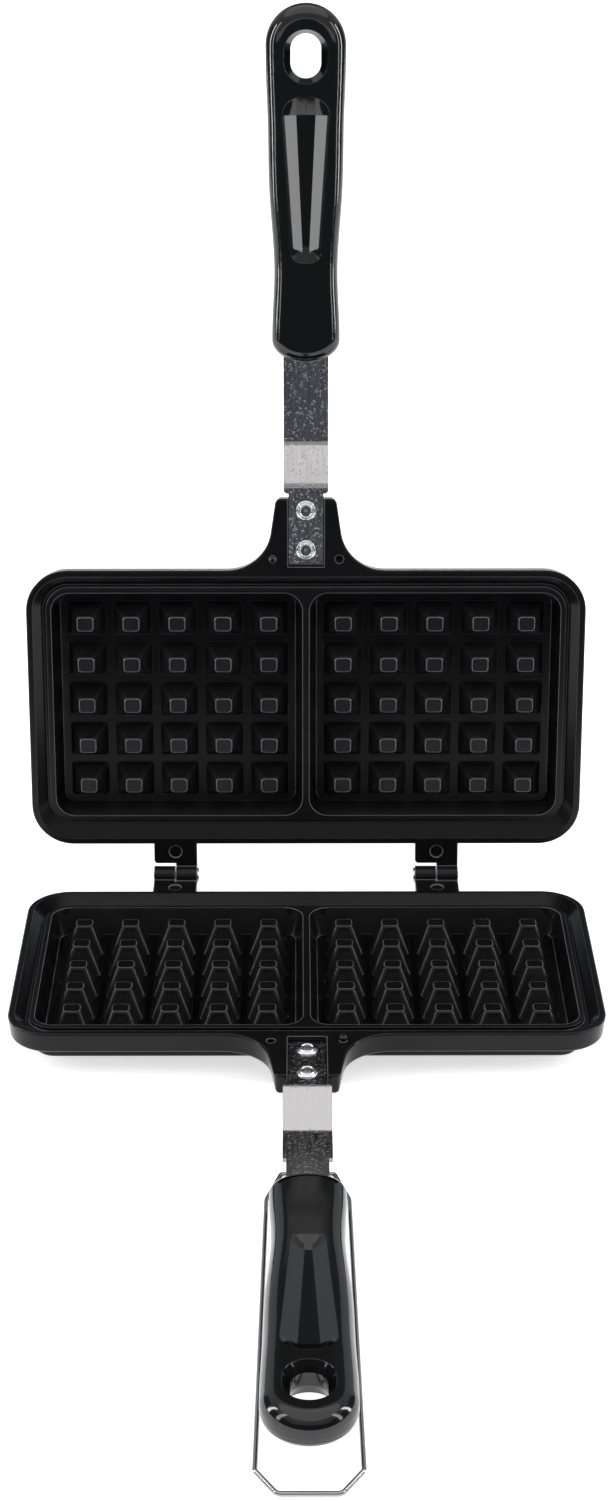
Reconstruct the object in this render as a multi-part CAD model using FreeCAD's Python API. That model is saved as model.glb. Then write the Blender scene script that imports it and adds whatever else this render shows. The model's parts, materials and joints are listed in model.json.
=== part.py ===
import FreeCAD, Part
import math
import os

from FreeCAD import Vector

# Stovetop waffle iron: two like aluminium castings hinged along one long side, each with a
# steel strap and a moulded grip, and a wire bail hooked to the lower strap.
# Each half is drawn closed, with the hinge axis on X, the handle along -Y and the parting plane
# at z = 0. In outlines a point is (x, reach, depth): reach runs from the hinge axis towards the
# handle's tip, and depth runs from the parting plane into the lower half. Lengths are in mm.

# Plate
plate_width = 240.0
plate_length = 123.8
hinge_setback = 14.4
plate_corner_radius = 18.0
rim_depth = 9.3
rim_draft = 1.0
rim_top_round = 0.8
rim_foot_round = 1.6
closing_gap = 0.4
rim_top_width = 2.8

# Waffle cavities
grid_shift = 1.35
tooth_columns = 5
tooth_rows = 5
column_pitch = 19.7
row_pitch = 18.25
channel_width = 3.3
tooth_top_width = 7.8
tooth_top_length = 7.0
tooth_foot_round = 1.3
tooth_top_round = 1.9
tooth_crown = 0.5
tooth_top_depth = 1.75
cavity_depth = 13.2
cavity_draft = 3.0
cavity_floor_round = 5.0
cavity_mouth_round = 8.0
divider_foot_width = 9.0
ridge_width = 2.2
ridge_edge_round = 0.4
groove_width = 1.4
groove_depth = 3.4

# Base under the cavities
floor_thickness = 3.8
base_wall = 3.0
base_draft = 1.5
base_foot_round = 2.4

# Handle socket on the plate
socket_length = 31.2
socket_end_width = 25.8
socket_root_width = 35.0
socket_flare_radius = 19.0
socket_corner_radius = 2.6
tongue_seat_depth = 4.0
side_play = 0.3
locator_offset = 14.2
locator_setback = 5.0
locator_radius = 1.5
locator_height = 2.4
locator_play = 0.3
locator_chamfer = 0.5

# Hinge
hinge_spacing = 114.8
lug_width = 18.8
lug_depth = 7.6
lug_corner_radius = 1.6
knuckle_radius = 4.2
knuckle_gap = 1.4
knuckle_side_gap = 0.3
hinge_pin_radius = 1.6
hinge_pin_play = 0.05
hinge_head_radius = 3.4
hinge_head_height = 1.0
hinge_tail_height = 0.5
dimple_radius = 2.8
dimple_depth = 0.5
dimple_setback = 3.4
lid_opening_angle = 96.4
stop_play = 0.3
stop_toe_depth = 6.2

# Strap
strap_thickness = 1.8
strap_width = 18.9
tongue_width = 14.9
tongue_inset = 1.9
shoulder_setback = 1.8
shoulder_radius = 1.6
jog_lead = 2.8
jog_drop = 9.0
jog_angle = 28.0
jog_bend_radius = 5.0
strap_run = 19.6
neck_length = 15.0
neck_width = 16.1
strap_embedded_length = 74.5
strap_lock_hole_radius = 3.5
strap_lock_setbacks = (22.5, 58.5)
ear_length = 5.6
ear_height = 6.2
ear_corner_radius = 2.2

# Rivets
rivet_setbacks = (8.5, 25.6)
rivet_head_radius = 4.45
rivet_head_height = 1.25
rivet_brim = 0.45
rivet_shank_radius = 2.5
rivet_hollow_radius = 1.5
rivet_hollow_depth = 3.0
rivet_mouth_radius = 2.3
rivet_play = 0.1

# Grip
grip_thickness = 13.6
grip_edge_round = 5.8
grip_base_half_width = 14.2
grip_base_length = 9.6
grip_waist_half_width = 13.2
grip_waist_run = 28.9
grip_flank_half_width = 15.1
grip_flank_run = 32.0
grip_palm_half_width = 15.6
grip_palm_run = 26.0
grip_tip_half_width = 16.35
grip_tip_run = 32.7
slot_setback = 20.8
slot_width = 12.5
slot_length = 18.0
slot_mouth_width = 18.0
slot_mouth_length = 21.4
slot_mouth_depth = 4.2
slot_end_flat = 0.1
thumb_setback = 15.8
thumb_length = 66.9
thumb_near_half_width = 6.4
thumb_far_half_width = 9.9
thumb_wall_width = 1.2
thumb_wall_depth = 0.6
thumb_end_share = 0.1
thumb_facet_angle = 29.0
thumb_near_floor_half_width = 1.4
thumb_far_floor_half_width = 3.9
thumb_crease_drop = 0.25
thumb_near_slope_length = 6.2
thumb_far_slope_length = 7.4
thumb_near_radius = 4.8
thumb_far_radius = 8.2
slip_play = 0.1

# Bail
wire_radius = 0.9
bail_play = 0.3
bail_hook_offset = 9.9
bail_hook_length = 4.0
bail_hook_bend_radius = 1.3
bail_flare_length = 15.0
bail_nose_half_width = 10.5
bail_nose_length = 10.2
bail_bend_radius = 3.0
bail_pivot_setback = 2.4
bail_pivot_drop = 4.5
bail_droop = 5.4
bail_pivot_play = 0.1

# A round is held to this share of the wall or curve that it runs on.
round_share = 0.95

# One overrun serves all cuts.
overrun = 1.0

# An edge is picked for rounding when it lies this near its place.
pick_reach = 0.1

X_AXIS = Vector(1, 0, 0)
Y_AXIS = Vector(0, 1, 0)
Z_AXIS = Vector(0, 0, 1)
ORIGIN = Vector(0, 0, 0)

# Worked out from the sizes above
rim_top_depth = closing_gap / 2
front_reach = hinge_setback + plate_length
socket_end_reach = front_reach + socket_length
rivet_reaches = [front_reach + setback for setback in rivet_setbacks]
tongue_end_reach = front_reach + tongue_inset
shoulder_reach = socket_end_reach + shoulder_setback
jog_start_reach = shoulder_reach + jog_lead
middle_reach = hinge_setback + plate_length / 2
grid_reach = middle_reach + grid_shift
tooth_foot_width = column_pitch - channel_width
tooth_foot_length = row_pitch - channel_width
cavity_floor_width = tooth_columns * column_pitch + channel_width
cavity_floor_length = tooth_rows * row_pitch + channel_width
cavity_offset = divider_foot_width / 2 + cavity_floor_width / 2
floor_half_width = cavity_offset + cavity_floor_width / 2
floor_half_length = cavity_floor_length / 2
ridge_half_width = floor_half_width + cavity_draft + ridge_width
ridge_half_length = floor_half_length + cavity_draft + ridge_width
base_depth = cavity_depth + floor_thickness
base_half_width = floor_half_width + base_wall
base_half_length = floor_half_length + base_wall
lug_inner = hinge_spacing / 2 - lug_width / 2
tongue_depth = tongue_seat_depth - strap_thickness / 2
strap_depth = tongue_depth + jog_drop
jog_end_reach = jog_start_reach + jog_drop / math.tan(math.radians(jog_angle))
socket_lean = math.degrees(math.atan2((socket_root_width - socket_end_width) / 2,
                                      socket_end_reach - front_reach))
neck_start_reach = jog_end_reach + strap_run
grip_base_reach = neck_start_reach + neck_length
strap_end_reach = grip_base_reach + strap_embedded_length
strap_lock_reaches = [grip_base_reach + setback for setback in strap_lock_setbacks]
grip_half_thickness = grip_thickness / 2
grip_swell_reach = grip_base_reach + grip_base_length
grip_waist_reach = grip_swell_reach + grip_waist_run
grip_flank_reach = grip_waist_reach + grip_flank_run
grip_palm_reach = grip_flank_reach + grip_palm_run
grip_tip_centre = grip_palm_reach + grip_tip_run
grip_tip_reach = grip_tip_centre + grip_tip_half_width
grip_base_curve = grip_base_length ** 2 / grip_base_half_width
grip_round = min(grip_edge_round, round_share * min(grip_half_thickness, grip_base_curve))
slot_centre_reach = grip_tip_reach - slot_setback
thumb_far_reach = slot_centre_reach - thumb_setback
thumb_near_reach = thumb_far_reach - thumb_length
bail_pivot_reach = neck_start_reach + bail_pivot_setback
bail_pivot_depth = strap_depth + bail_pivot_drop
bail_reach = (math.hypot(grip_tip_reach - grip_round - bail_pivot_reach,
                         bail_pivot_depth + strap_depth + grip_half_thickness - grip_round)
              + grip_round + wire_radius + bail_play)


def at(x, reach, depth):
    """Turn a place on one half, given by x, reach and depth, into a point."""
    return Vector(x, -reach, -depth)


def swing_on(centre_x, centre_reach, radius, angle, depth):
    """Give the point on a circle about (centre_x, centre_reach) at an angle from +X to the tip."""
    turn = math.radians(angle)
    return at(centre_x + radius * math.cos(turn), centre_reach + radius * math.sin(turn), depth)


def arc_chain(arcs, depth):
    """Join arcs (centre x, centre reach, radius, first angle, last angle) by straight edges."""
    edges = []
    ends = []
    for x, reach, radius, first, final in arcs:
        start = swing_on(x, reach, radius, first, depth)
        middle = swing_on(x, reach, radius, (first + final) / 2, depth)
        end = swing_on(x, reach, radius, final, depth)
        ends.append((start, middle, end))
    last = ends[-1][2]
    for start, middle, end in ends:
        edges.append(Part.makeLine(last, start))
        edges.append(Part.Arc(start, middle, end).toShape())
        last = end
    return Part.Wire(edges)


def rounded_rectangle(centre_x, centre_reach, half_width, half_length, radius, depth):
    """Draw a rectangle with round corners at one depth."""
    side = half_width - radius
    end = half_length - radius
    arcs = [
        (centre_x + side, centre_reach - end, radius, -90, 0),
        (centre_x + side, centre_reach + end, radius, 0, 90),
        (centre_x - side, centre_reach + end, radius, 90, 180),
        (centre_x - side, centre_reach - end, radius, 180, 270),
    ]
    return arc_chain(arcs, depth)


def between(lower_wire, upper_wire):
    """Fill the space between two like wires with flat and conical walls."""
    return Part.makeLoft([lower_wire, upper_wire], True, True)


def disc(x, reach, top_depth, radius, height):
    """Make an upright cylinder from top_depth down into the half."""
    return Part.makeCylinder(radius, height, at(x, reach, top_depth), -Z_AXIS)


def bar_along_x(first_x, last_x, reach, depth, radius):
    """Make a round bar along X."""
    return Part.makeCylinder(radius, last_x - first_x, at(first_x, reach, depth), X_AXIS)


def side_profile(points, first_x, last_x):
    """Draw a closed outline of (reach, depth) points and push it along X."""
    corners = [at(first_x, reach, depth) for reach, depth in points]
    face = Part.Face(Part.makePolygon(corners + corners[:1]))
    return face.extrude(Vector(last_x - first_x, 0, 0))


def edges_between(shape, low_depth, high_depth):
    """Pick the edges that lie wholly between two depths."""
    picked = []
    for edge in shape.Edges:
        box = edge.BoundBox
        if box.ZMax <= -low_depth and box.ZMin >= -high_depth:
            picked.append(edge)
    return picked


def upright_edges(shape, first_reach, last_reach):
    """Pick the straight upright edges whose reach lies between two values."""
    picked = []
    for edge in shape.Edges:
        box = edge.BoundBox
        upright = box.XLength < pick_reach and box.YLength < pick_reach
        if upright and -last_reach <= box.YMin and box.YMax <= -first_reach:
            picked.append(edge)
    return picked


def rim_outline(inset, depth):
    """Draw the plate and its handle socket as one outline, drawn in by inset."""
    corner_x = plate_width / 2 - plate_corner_radius
    back = hinge_setback + plate_corner_radius
    front = front_reach - plate_corner_radius
    corner = plate_corner_radius - inset
    lean = math.radians(socket_lean)
    flare_reach = front_reach + socket_flare_radius
    flare_line = socket_root_width / 2 - socket_flare_radius * math.tan(lean)
    flare_x = flare_line + socket_flare_radius / math.cos(lean)
    flare = socket_flare_radius + inset
    end_reach = socket_end_reach - socket_corner_radius
    end_line = socket_end_width / 2 + socket_corner_radius * math.tan(lean)
    end_x = end_line - socket_corner_radius / math.cos(lean)
    end_round = socket_corner_radius - inset
    arcs = [
        (corner_x, back, corner, -90, 0),
        (corner_x, front, corner, 0, 90),
        (flare_x, flare_reach, flare, 270, 180 + socket_lean),
        (end_x, end_reach, end_round, socket_lean, 90),
        (-end_x, end_reach, end_round, 90, 180 - socket_lean),
        (-flare_x, flare_reach, flare, -socket_lean, -90),
        (-corner_x, front, corner, 90, 180),
        (-corner_x, back, corner, 180, 270),
    ]
    return arc_chain(arcs, depth)


def rim_slab():
    """Make the drafted outer wall with its rounded edges."""
    slab = between(rim_outline(rim_draft, rim_depth), rim_outline(0, rim_top_depth))
    foot = edges_between(slab, rim_depth - pick_reach, rim_depth + pick_reach)
    slab = slab.makeFillet(rim_foot_round, foot)
    top = edges_between(slab, rim_top_depth - pick_reach, rim_top_depth + pick_reach)
    return slab.makeFillet(rim_top_round, top)


def base_block():
    """Make the raised flat base that stands on the hob."""
    corner = cavity_floor_round + base_wall
    top = rounded_rectangle(0, grid_reach, base_half_width + base_draft,
                            base_half_length + base_draft, corner + base_draft, cavity_depth / 2)
    foot = rounded_rectangle(0, grid_reach, base_half_width, base_half_length, corner,
                             base_depth)
    block = between(foot, top)
    edges = edges_between(block, base_depth - pick_reach, base_depth + pick_reach)
    return block.makeFillet(base_foot_round, edges)


def rim_recess():
    """Make the sunk face inside the rim, sloping down to the groove."""
    groove_half_width = ridge_half_width + groove_width
    groove_half_length = ridge_half_length + groove_width
    groove_round = cavity_mouth_round + ridge_width + groove_width
    floor = rounded_rectangle(0, grid_reach, groove_half_width, groove_half_length,
                              groove_round, groove_depth)
    mouth = rounded_rectangle(0, middle_reach, plate_width / 2 - rim_top_width,
                              plate_length / 2 - rim_top_width,
                              plate_corner_radius - rim_top_width, rim_top_depth)
    lead = rounded_rectangle(0, middle_reach, plate_width / 2 - rim_top_width,
                             plate_length / 2 - rim_top_width,
                             plate_corner_radius - rim_top_width, rim_top_depth - overrun)
    return between(floor, mouth).fuse(between(mouth, lead))


def ridge_block():
    """Make the land that frames both cavities."""
    corner = cavity_mouth_round + ridge_width
    foot = rounded_rectangle(0, grid_reach, ridge_half_width, ridge_half_length, corner,
                             cavity_depth / 2)
    top = rounded_rectangle(0, grid_reach, ridge_half_width, ridge_half_length, corner,
                            tooth_top_depth)
    block = between(foot, top)
    edges = edges_between(block, tooth_top_depth - pick_reach, tooth_top_depth + pick_reach)
    return block.makeFillet(ridge_edge_round, edges)


def cavity(side):
    """Make the space of one waffle cavity, on the left (-1) or the right (1)."""
    x = side * cavity_offset
    half_width = cavity_floor_width / 2
    floor = rounded_rectangle(x, grid_reach, half_width, floor_half_length,
                              cavity_floor_round, cavity_depth)
    mouth = rounded_rectangle(x, grid_reach, half_width + cavity_draft,
                              floor_half_length + cavity_draft, cavity_mouth_round,
                              tooth_top_depth)
    lead = rounded_rectangle(x, grid_reach, half_width + cavity_draft,
                             floor_half_length + cavity_draft, cavity_mouth_round,
                             tooth_top_depth - overrun)
    return between(floor, mouth).fuse(between(mouth, lead))


def tooth(x, reach):
    """Make one tooth: a leaning-sided pyramid with round corners and an eased crown."""
    crown_depth = tooth_top_depth + tooth_crown
    foot = rounded_rectangle(x, reach, tooth_foot_width / 2, tooth_foot_length / 2,
                             tooth_foot_round, cavity_depth)
    neck = rounded_rectangle(x, reach, tooth_top_width / 2, tooth_top_length / 2,
                             tooth_top_round, crown_depth)
    top = rounded_rectangle(x, reach, tooth_top_width / 2 - tooth_crown,
                            tooth_top_length / 2 - tooth_crown, tooth_top_round - tooth_crown,
                            tooth_top_depth)
    return Part.makeLoft([foot, neck, top], True, True)


def cavity_teeth(side):
    """Make the grid of teeth of one cavity."""
    teeth = []
    for column in range(tooth_columns):
        x = side * cavity_offset + (column - (tooth_columns - 1) / 2) * column_pitch
        for row in range(tooth_rows):
            reach = grid_reach + (row - (tooth_rows - 1) / 2) * row_pitch
            teeth.append(tooth(x, reach))
    return teeth


def lug_side(first_x, last_x, end_reach):
    """Make one side of a hinge lug, from the plate's back wall to end_reach."""
    root = hinge_setback + rim_top_width
    slope = (lug_depth - knuckle_radius) / hinge_setback
    points = [
        (root, rim_top_depth),
        (end_reach, rim_top_depth),
        (end_reach, knuckle_radius + slope * end_reach),
        (hinge_setback, lug_depth),
        (root, lug_depth),
    ]
    return side_profile(points, first_x, last_x)


def hinge_lug(middle_x):
    """Make one lug: its left side carries a knuckle, its right side stops short of the mate's."""
    left = middle_x - lug_width / 2
    right = middle_x + lug_width / 2
    knuckle_end = middle_x - knuckle_side_gap / 2
    arm = lug_side(left, knuckle_end, 0)
    knuckle = bar_along_x(left, knuckle_end, 0, 0, knuckle_radius)
    stub = lug_side(knuckle_end, right, knuckle_radius + knuckle_gap)
    stub_end = knuckle_radius + knuckle_gap
    corner = upright_edges(stub, stub_end - pick_reach, stub_end + pick_reach)
    outer = [edge for edge in corner if abs(edge.BoundBox.XMax - right) < pick_reach]
    stub = stub.makeFillet(lug_corner_radius, outer)
    bore = bar_along_x(left - overrun, knuckle_end + overrun, 0, 0,
                       hinge_pin_radius + hinge_pin_play)
    return arm.fuse([knuckle, stub]).cut(bore)


def lug_dimple(middle_x):
    """Make the shallow round mark on a lug's face."""
    return disc(middle_x, hinge_setback - dimple_setback, rim_top_depth - overrun, dimple_radius,
                dimple_depth + overrun)


def tongue_seat():
    """Make the channel in the socket that the strap's tongue lies in."""
    half = tongue_width / 2 + side_play
    first = tongue_end_reach - side_play
    last = socket_end_reach + overrun
    length = last - first
    height = tongue_seat_depth + overrun
    return Part.makeBox(2 * half, length, height, at(-half, last, tongue_seat_depth))


def casting():
    """Make one whole casting, the same for both halves but for the lid's stop toes."""
    body = rim_slab().fuse(base_block())
    body = body.cut(rim_recess())
    body = body.fuse(ridge_block())
    body = body.cut(cavity(-1)).cut(cavity(1))
    body = body.fuse([hinge_lug(-hinge_spacing / 2), hinge_lug(hinge_spacing / 2)])
    locator_reach = front_reach + locator_setback
    cuts = [tongue_seat(), lug_dimple(-hinge_spacing / 2), lug_dimple(hinge_spacing / 2)]
    for reach in rivet_reaches:
        cuts.append(disc(0, reach, rim_top_depth, rivet_shank_radius + rivet_play,
                         rim_depth + overrun))
    hole_depth = locator_height + closing_gap + locator_play
    cuts.append(disc(-locator_offset, locator_reach, rim_top_depth - overrun,
                     locator_radius + locator_play, hole_depth + overrun))
    body = body.cut(cuts)
    peg = disc(locator_offset, locator_reach, rim_top_depth - locator_height, locator_radius,
               locator_height + overrun)
    top = edges_between(peg, rim_top_depth - locator_height - pick_reach,
                        rim_top_depth - locator_height + pick_reach)
    peg = peg.makeChamfer(locator_chamfer, top)
    return body.fuse([peg] + cavity_teeth(-1) + cavity_teeth(1))


def stop_toe(middle_x):
    """Make the toe on a lid knuckle that lands on the lower lug's stub when the lid is open."""
    left = middle_x + knuckle_side_gap / 2
    right = middle_x + lug_width / 2
    face = knuckle_radius + knuckle_gap - stop_play
    points = [
        (face, rim_top_depth + stop_play),
        (face, stop_toe_depth),
        (knuckle_radius / 2, stop_toe_depth),
        (hinge_pin_radius + hinge_pin_play, hinge_pin_radius + hinge_pin_play),
        (hinge_pin_radius + hinge_pin_play, rim_top_depth + stop_play),
    ]
    toe = side_profile(points, left, right)
    toe.rotate(ORIGIN, X_AXIS, lid_opening_angle)
    toe.rotate(ORIGIN, Y_AXIS, -180)
    return toe


def lid_casting(plain):
    """Add the stop toes to a copy of the casting."""
    toes = [stop_toe(-hinge_spacing / 2), stop_toe(hinge_spacing / 2)]
    return plain.fuse(toes)


def rounded_path(spots, radii):
    """Join points by straight runs with a tangent arc of its own radius at each inner point."""
    edges = []
    start = spots[0]
    for before, corner, after, radius in zip(spots, spots[1:], spots[2:], radii):
        inward = (before - corner).normalize()
        onward = (after - corner).normalize()
        turn = math.pi - inward.getAngle(onward)
        cut_back = radius * math.tan(turn / 2)
        first = corner + inward * cut_back
        last = corner + onward * cut_back
        bisector = (inward + onward).normalize()
        centre = corner + bisector * (radius / math.cos(turn / 2))
        middle = centre - bisector * radius
        edges.append(Part.makeLine(start, first))
        edges.append(Part.Arc(first, middle, last).toShape())
        start = last
    edges.append(Part.makeLine(start, spots[-1]))
    return edges


def strap_ribbon(first_reach, half_width):
    """Make a bent flat ribbon from first_reach to the strap's end, half_width each side."""
    points = [
        (first_reach, tongue_depth),
        (jog_start_reach, tongue_depth),
        (jog_end_reach, strap_depth),
        (strap_end_reach, strap_depth),
    ]
    spots = [at(0, reach, depth) for reach, depth in points]
    centre = Part.Wire(rounded_path(spots, (jog_bend_radius, jog_bend_radius)))
    start = at(-half_width, first_reach, tongue_depth - strap_thickness / 2)
    corners = [
        start,
        start + Vector(2 * half_width, 0, 0),
        start + Vector(2 * half_width, 0, -strap_thickness),
        start + Vector(0, 0, -strap_thickness),
    ]
    section = Part.makePolygon(corners + corners[:1])
    return centre.makePipeShell([section], True, False)


def strap_blank(neck_reach):
    """Make the flat outline of a strap as one upright block: tongue, body and neck."""
    height = base_depth + jog_drop
    top = -height / 2
    tongue = tongue_width / 2
    body = strap_width / 2
    neck = neck_width / 2
    first = tongue_end_reach
    shoulder = shoulder_reach
    places = [
        (-tongue, first), (tongue, first), (tongue, shoulder), (body, shoulder),
        (body, neck_reach), (neck, neck_reach), (neck, strap_end_reach),
        (-neck, strap_end_reach), (-neck, neck_reach), (-body, neck_reach),
        (-body, shoulder), (-tongue, shoulder),
    ]
    corners = [at(x, reach, top) for x, reach in places]
    face = Part.Face(Part.makePolygon(corners + corners[:1]))
    block = face.extrude(Vector(0, 0, -2 * height))
    rounds = upright_edges(block, shoulder - pick_reach, shoulder + pick_reach)
    wide = [edge for edge in rounds if abs(edge.BoundBox.Center.x) > body - pick_reach]
    return block.makeFillet(min(shoulder_radius, round_share * (body - tongue)), wide)


def strap(neck_reach):
    """Make a strap whose wide part ends at neck_reach."""
    ribbon = strap_ribbon(tongue_end_reach, strap_width / 2 + overrun)
    shape = ribbon.common(strap_blank(neck_reach))
    for reach in rivet_reaches:
        shape = shape.cut(disc(0, reach, -overrun, rivet_shank_radius + rivet_play, base_depth))
    for reach in strap_lock_reaches:
        shape = shape.cut(disc(0, reach, strap_depth - strap_thickness, strap_lock_hole_radius,
                               2 * strap_thickness))
    return shape


def bail_ear(side):
    """Make one ear, bent down from the lower strap's neck, with the bail's pivot hole."""
    outer = side * neck_width / 2
    inner = outer - side * strap_thickness
    low_x = min(outer, inner)
    first = neck_start_reach
    top = strap_depth - strap_thickness / 2
    ear = Part.makeBox(strap_thickness, ear_length, ear_height + strap_thickness,
                       at(low_x, first + ear_length, top + ear_height + strap_thickness))
    foot = []
    for edge in ear.Edges:
        box = edge.BoundBox
        if box.YLength < pick_reach and box.ZLength < pick_reach and box.ZMax < -strap_depth:
            foot.append(edge)
    ear = ear.makeFillet(ear_corner_radius, foot)
    hole = bar_along_x(low_x - overrun, low_x + strap_thickness + overrun, bail_pivot_reach,
                       bail_pivot_depth, wire_radius + bail_pivot_play)
    return ear.cut(hole)


def lower_strap():
    """Make the lower strap with its two ears."""
    plain = strap(neck_start_reach)
    return plain.fuse([bail_ear(-1).fuse(bail_ear(1))]).removeSplitter()


def upper_strap():
    """Make the upper strap, wide until it is inside the grip."""
    return strap(grip_swell_reach)


def rivet(reach):
    """Make one semi-tubular rivet with a domed, hollow-centred head and a flat tail head."""
    head_seat = tongue_depth - strap_thickness / 2
    tail_seat = rim_depth
    crown = head_seat - rivet_head_height
    tail = tail_seat + rivet_head_height
    shank = rivet_shank_radius
    head = rivet_head_radius
    start = at(0, reach, crown + rivet_hollow_depth)
    outline = [
        Part.makeLine(start, at(rivet_hollow_radius, reach, crown + rivet_hollow_depth)),
        Part.makeLine(at(rivet_hollow_radius, reach, crown + rivet_hollow_depth),
                      at(rivet_hollow_radius, reach, crown + rivet_brim)),
        Part.makeLine(at(rivet_hollow_radius, reach, crown + rivet_brim),
                      at(rivet_mouth_radius, reach, crown)),
        Part.Arc(at(rivet_mouth_radius, reach, crown),
                 at((rivet_mouth_radius + head) / 2, reach, crown + rivet_brim / 3),
                 at(head, reach, head_seat - rivet_brim)).toShape(),
        Part.makeLine(at(head, reach, head_seat - rivet_brim), at(head, reach, head_seat)),
        Part.makeLine(at(head, reach, head_seat), at(shank, reach, head_seat)),
        Part.makeLine(at(shank, reach, head_seat), at(shank, reach, tail_seat)),
        Part.makeLine(at(shank, reach, tail_seat), at(head, reach, tail_seat)),
        Part.makeLine(at(head, reach, tail_seat), at(head, reach, tail - rivet_brim)),
        Part.makeLine(at(head, reach, tail - rivet_brim),
                      at(head - rivet_brim, reach, tail)),
        Part.makeLine(at(head - rivet_brim, reach, tail), at(0, reach, tail)),
        Part.makeLine(at(0, reach, tail), start),
    ]
    face = Part.Face(Part.Wire(outline))
    return face.revolve(at(0, reach, 0), Z_AXIS, 360)


def grip_side(side, depth):
    """Draw one side of the grip's plan, from its base to its tip."""
    points = [
        (grip_base_half_width, grip_swell_reach),
        (grip_waist_half_width, grip_waist_reach),
        (grip_flank_half_width, grip_flank_reach),
        (grip_palm_half_width, grip_palm_reach),
        (grip_tip_half_width, grip_tip_centre),
    ]
    curve = Part.BSplineCurve()
    curve.interpolate([at(side * x, reach, depth) for x, reach in points],
                      InitialTangent=-Y_AXIS, FinalTangent=-Y_AXIS)
    return curve.toShape()


def grip_outline(depth):
    """Draw the grip's plan: an elliptic base, a swell, a waist and a wide round tip."""
    base = Part.Ellipse(at(0, grip_swell_reach, depth), grip_base_half_width, grip_base_length)
    tip = Part.Arc(at(grip_tip_half_width, grip_tip_centre, depth), at(0, grip_tip_reach, depth),
                   at(-grip_tip_half_width, grip_tip_centre, depth))
    edges = [
        Part.ArcOfEllipse(base, 0, math.pi).toShape(),
        grip_side(1, depth),
        tip.toShape(),
        grip_side(-1, depth),
    ]
    return Part.Wire(Part.__sortEdges__(edges))


def grip_body():
    """Make the grip's rounded body about the strap's middle plane."""
    top = strap_depth - grip_half_thickness
    body = Part.Face(grip_outline(top)).extrude(Vector(0, 0, -grip_thickness))
    upper = edges_between(body, top - pick_reach, top + pick_reach)
    bottom = top + grip_thickness
    lower = edges_between(body, bottom - pick_reach, bottom + pick_reach)
    return body.makeFillet(grip_round, upper + lower)


def hang_slot():
    """Make the slot by which the grip hangs, with a flared mouth on both faces."""
    top = strap_depth - grip_half_thickness
    bottom = top + grip_thickness
    reach = slot_centre_reach

    def ring(width, length, depth):
        return rounded_rectangle(0, reach, width / 2, length / 2,
                                 width / 2 - slot_end_flat, depth)

    upper_mouth = between(ring(slot_width, slot_length, top + slot_mouth_depth),
                          ring(slot_mouth_width, slot_mouth_length, top))
    lower_mouth = between(ring(slot_mouth_width, slot_mouth_length, bottom),
                          ring(slot_width, slot_length, bottom - slot_mouth_depth))
    through = between(ring(slot_width, slot_length, bottom + overrun),
                      ring(slot_width, slot_length, top - overrun))
    return through.fuse([upper_mouth, lower_mouth])


def thumb_outline(depth):
    """Draw the rim of the thumb recess."""
    near = thumb_near_reach + thumb_near_radius
    far = thumb_far_reach - thumb_far_radius
    near_x = thumb_near_half_width - thumb_near_radius
    far_x = thumb_far_half_width - thumb_far_radius
    spread = thumb_far_half_width - thumb_near_half_width
    lean = math.degrees(math.asin(spread / (far - near)))
    arcs = [
        (near_x, near, thumb_near_radius, -90, -lean),
        (far_x, far, thumb_far_radius, -lean, 90),
        (-far_x, far, thumb_far_radius, 90, 180 + lean),
        (-near_x, near, thumb_near_radius, 180 + lean, 270),
    ]
    return arc_chain(arcs, depth)


def thumb_section(reach, half_width, floor_half_width, depth_share):
    """Draw one cross-section of the recess: wall, facet and creased floor on each side."""
    face = strap_depth - grip_half_thickness
    shelf = half_width - thumb_wall_width
    fall = (shelf - floor_half_width) * math.tan(math.radians(thumb_facet_angle))
    wall = face + depth_share * thumb_wall_depth
    floor = face + depth_share * (thumb_wall_depth + fall)
    crease = floor + depth_share * thumb_crease_drop
    top = face - overrun
    right = [(half_width + overrun, top), (half_width, face), (shelf, wall),
             (floor_half_width, floor)]
    left = [(-x, depth) for x, depth in reversed(right)]
    corners = [at(x, reach, depth) for x, depth in right + [(0, crease)] + left]
    return Part.makePolygon(corners + corners[:1])


def thumb_recess():
    """Make the tapered thumb recess, with a facet on each side of a creased floor."""
    face = strap_depth - grip_half_thickness
    deepest = grip_half_thickness
    block = Part.Face(thumb_outline(face - overrun)).extrude(Vector(0, 0, -deepest))
    near = thumb_near_reach + thumb_near_slope_length
    far = thumb_far_reach - thumb_far_slope_length
    middle = Part.makeLoft([
        thumb_section(near, thumb_near_half_width, thumb_near_floor_half_width, 1),
        thumb_section(far, thumb_far_half_width, thumb_far_floor_half_width, 1),
    ], True, True)
    near_end = Part.makeLoft([
        thumb_section(thumb_near_reach, thumb_near_half_width, thumb_near_floor_half_width,
                      thumb_end_share),
        thumb_section(near, thumb_near_half_width, thumb_near_floor_half_width, 1),
    ], True, True)
    far_end = Part.makeLoft([
        thumb_section(far, thumb_far_half_width, thumb_far_floor_half_width, 1),
        thumb_section(thumb_far_reach, thumb_far_half_width, thumb_far_floor_half_width,
                      thumb_end_share),
    ], True, True)
    return block.common(middle.fuse([near_end, far_end]))


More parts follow.
